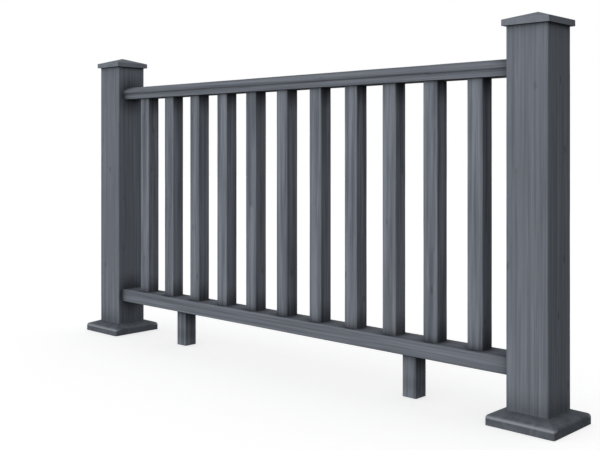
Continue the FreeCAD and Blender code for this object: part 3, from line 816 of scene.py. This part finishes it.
class RAILING_OT_rails(bpy.types.Operator):
    """Extrude the crowned top rail and the bottom rail with pressed grain"""

    bl_idname = "railing.rails"
    bl_label = "Rails"

    def execute(self, context):
        grain = context.scene.railing_grain
        finish = pressed_composite("pressed_composite_rail", LENGTHWISE, grain.rail_streak,
                                   grain.rail_strength, grain.rail_seed)
        for node in ("top_rail", "bottom_rail"):
            piece = embossed_stock(node, LENGTHWISE, finish, grain.rail_seed)
            piece.data = with_holes(piece, grain.hole_fit)
            stand_for(piece, node)
        return {"FINISHED"}


class RAILING_OT_balusters(bpy.types.Operator):
    """Extrude the row of square balusters with pressed grain"""

    bl_idname = "railing.balusters"
    bl_label = "Balusters"

    def execute(self, context):
        seed = context.scene.railing_grain.baluster_seed
        finish = baluster_composite()
        for node in BALUSTERS:
            piece = embossed_stock(node, UPRIGHT, finish, seed)
            stand_for(piece, node)
        return {"FINISHED"}


class RAILING_OT_foot_blocks(bpy.types.Operator):
    """Cut the two foot blocks from baluster stock"""

    bl_idname = "railing.foot_blocks"
    bl_label = "Foot blocks"

    def execute(self, context):
        seed = context.scene.railing_grain.baluster_seed
        finish = baluster_composite()
        for side in SIDES:
            node = f"{side}_foot_block"
            piece = embossed_stock(node, UPRIGHT, finish, seed)
            stand_for(piece, node)
        return {"FINISHED"}


class RAILING_OT_fixings(bpy.types.Operator):
    """Finish the steel anchors inside the posts and the brackets inside the rails"""

    bl_idname = "railing.fixings"
    bl_label = "Anchors and brackets"

    def execute(self, context):
        steel = galvanised_steel()
        nylon = moulded_nylon()
        for side in SIDES:
            dress_node(f"{side}_post_anchor", steel)
            for rail in ("top", "bottom"):
                dress_node(f"{side}_{rail}_rail_bracket", nylon)
        return {"FINISHED"}


class RAILING_OT_stage(bpy.types.Operator):
    """Lay the pale floor and set up the camera and the soft studio light"""

    bl_idname = "railing.stage"
    bl_label = "Stage"

    def execute(self, context):
        scene = context.scene
        settings = scene.railing_stage
        scene.view_settings.view_transform = "Standard"
        self.add_camera(scene, settings)
        unlit = bpy.data.collections.new("left_to_the_room_light")
        unlit.objects.link(self.add_floor(settings))
        unlit.collection_objects[0].light_linking.link_state = "EXCLUDE"
        self.add_softbox("front_softbox", settings.front_power, settings.front_place, settings, unlit)
        self.add_softbox("back_softbox", settings.back_power, settings.back_place, settings, unlit)
        self.add_softbox("left_softbox", settings.left_power, settings.left_place, settings, unlit)
        self.add_world(scene, settings)
        return {"FINISHED"}

    def add_camera(self, scene, settings):
        """A level camera at the photograph's place; its shift keeps the uprights parallel."""
        width, height = IMAGE_SIZE
        data = bpy.data.cameras.new("camera")
        data.sensor_width = 36.0
        data.lens = data.sensor_width * settings.focal_pixels / width
        data.shift_x = (width / 2 - settings.axis_x) / width
        data.shift_y = (settings.axis_y - height / 2) / width
        data.clip_end = 60.0
        camera = bpy.data.objects.new("camera", data)
        camera.location = settings.camera_place
        camera.rotation_euler = (math.pi / 2, 0.0, settings.camera_turn)
        scene.collection.objects.link(camera)
        scene.camera = camera

    def add_floor(self, settings):
        """A plain floor, a hair below the faces that stand on it."""
        reach = settings.floor_reach
        below = 0.2 * MM
        corners = [(-reach, -reach), (reach, -reach), (reach, reach), (-reach, reach)]
        mesh = bpy.data.meshes.new("floor")
        mesh.from_pydata([(x, y, -below) for x, y in corners], [], [(0, 1, 2, 3)])
        mesh.materials.append(floor_paint())
        floor = link_piece("floor", mesh)
        return floor

    def add_softbox(self, name, power, place, settings, unlit):
        """A large softbox that faces the middle of the railing, and leaves the floor to the room light."""
        middle = (Vector(CAD_BOX[0]) + Vector(CAD_BOX[1])) / 2
        data = bpy.data.lights.new(name, "AREA")
        data.shape = "RECTANGLE"
        data.size = settings.softbox_width
        data.size_y = settings.softbox_height
        data.energy = power
        lamp = bpy.data.objects.new(name, data)
        lamp.location = middle + Vector(place)
        lamp.rotation_euler = (middle - lamp.location).to_track_quat("-Z", "Y").to_euler()
        lamp.light_linking.receiver_collection = unlit
        bpy.context.scene.collection.objects.link(lamp)

    def add_world(self, scene, settings):
        """An even room light; the camera and mirror-like faces see it as white."""
        world = bpy.data.worlds.new("studio")
        world.use_nodes = True
        tree = world.node_tree
        tree.nodes.clear()
        pale = opaque((1, 1, 1))
        room = add_node(tree, "ShaderNodeBackground", None, {
            "Color": pale, "Strength": settings.ambient,
        }).outputs[0]
        white = add_node(tree, "ShaderNodeBackground", None, {"Color": pale, "Strength": 1.0}).outputs[0]
        mixed = add_node(tree, "ShaderNodeMixShader", None, {
            0: sees_white(tree), 1: room, 2: white,
        }).outputs[0]
        add_node(tree, "ShaderNodeOutputWorld", None, {"Surface": mixed})
        scene.world = world


OPERATORS = (
    RAILING_OT_post_sleeves,
    RAILING_OT_post_trim,
    RAILING_OT_rails,
    RAILING_OT_balusters,
    RAILING_OT_foot_blocks,
    RAILING_OT_fixings,
    RAILING_OT_stage,
)
GROUPS = {"railing_grain": RailingGrain, "railing_colours": RailingColours, "railing_stage": RailingStage}


class RAILING_PT_panel(bpy.types.Panel):
    """Sizes, colours and steps of the railing"""

    bl_idname = "RAILING_PT_panel"
    bl_label = "Deck railing"
    bl_space_type = "VIEW_3D"
    bl_region_type = "UI"
    bl_category = "Railing"

    def draw(self, context):
        for operator in OPERATORS:
            self.layout.operator(operator.bl_idname)
        for group_name in GROUPS:
            group = getattr(context.scene, group_name)
            box = self.layout.box()
            for name in group.__annotations__:
                box.prop(group, name)


CLASSES = (*GROUPS.values(), *OPERATORS, RAILING_PT_panel)


def register():
    for made in CLASSES:
        bpy.utils.register_class(made)
    for name, group in GROUPS.items():
        setattr(bpy.types.Scene, name, PointerProperty(type=group))


def unregister():
    for name in GROUPS:
        delattr(bpy.types.Scene, name)
    for made in reversed(CLASSES):
        bpy.utils.unregister_class(made)


def main():
    register()
    bpy.ops.railing.post_sleeves()
    bpy.ops.railing.post_trim()
    bpy.ops.railing.rails()
    bpy.ops.railing.balusters()
    bpy.ops.railing.foot_blocks()
    bpy.ops.railing.fixings()
    bpy.ops.railing.stage()


if __name__ == "__main__":
    main()
